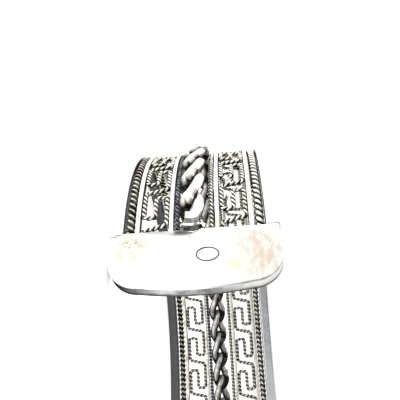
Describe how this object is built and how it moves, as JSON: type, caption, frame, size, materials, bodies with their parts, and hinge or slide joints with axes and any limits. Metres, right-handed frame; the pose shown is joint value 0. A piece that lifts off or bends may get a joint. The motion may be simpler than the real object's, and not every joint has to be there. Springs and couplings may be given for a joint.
{
  "type": "filigree cuff bracelet",
  "caption": "Open oval silver cuff with plain round-cornered end plates, side rails, pierced key-pattern bands, twisted ropes and a curb chain down the middle.",
  "frame": {"origin": "middle of the cuff's outer box, on the lower rail's edge that it rests on", "axes": "+Z along the wrist's axis, +Y towards the back of the cuff, -Y out through the opening, +X across it"},
  "size_m": [0.0698, 0.0565, 0.024],
  "materials": {
    "silver": "polished silver with fine scratches and faint tarnish stains",
    "wirework": "twisted silver wire, bright on top and oxidised dark in its grooves",
    "chain": "polished silver links with flattened tops and dark recesses"
  },
  "bodies": {
    "root": {"frame": "silver", "meander_low": "wirework", "meander_high": "wirework", "edge_rope_low": "wirework", "edge_rope_high": "wirework", "chain_rope_low": "wirework", "chain_rope_high": "wirework", "chain_end_left": "chain", "chain_end_right": "chain", "link_01": "chain", "link_02": "chain", "link_03": "chain", "link_04": "chain", "link_05": "chain", "link_06": "chain", "link_07": "chain", "link_08": "chain", "link_09": "chain", "link_10": "chain", "link_11": "chain", "link_12": "chain", "link_13": "chain", "link_14": "chain", "link_15": "chain", "link_16": "chain", "link_17": "chain", "link_18": "chain", "link_19": "chain", "link_20": "chain", "link_21": "chain", "link_22": "chain", "link_23": "chain", "link_24": "chain", "link_25": "chain", "link_26": "chain", "link_27": "chain"}
  },
  "joints": []
}
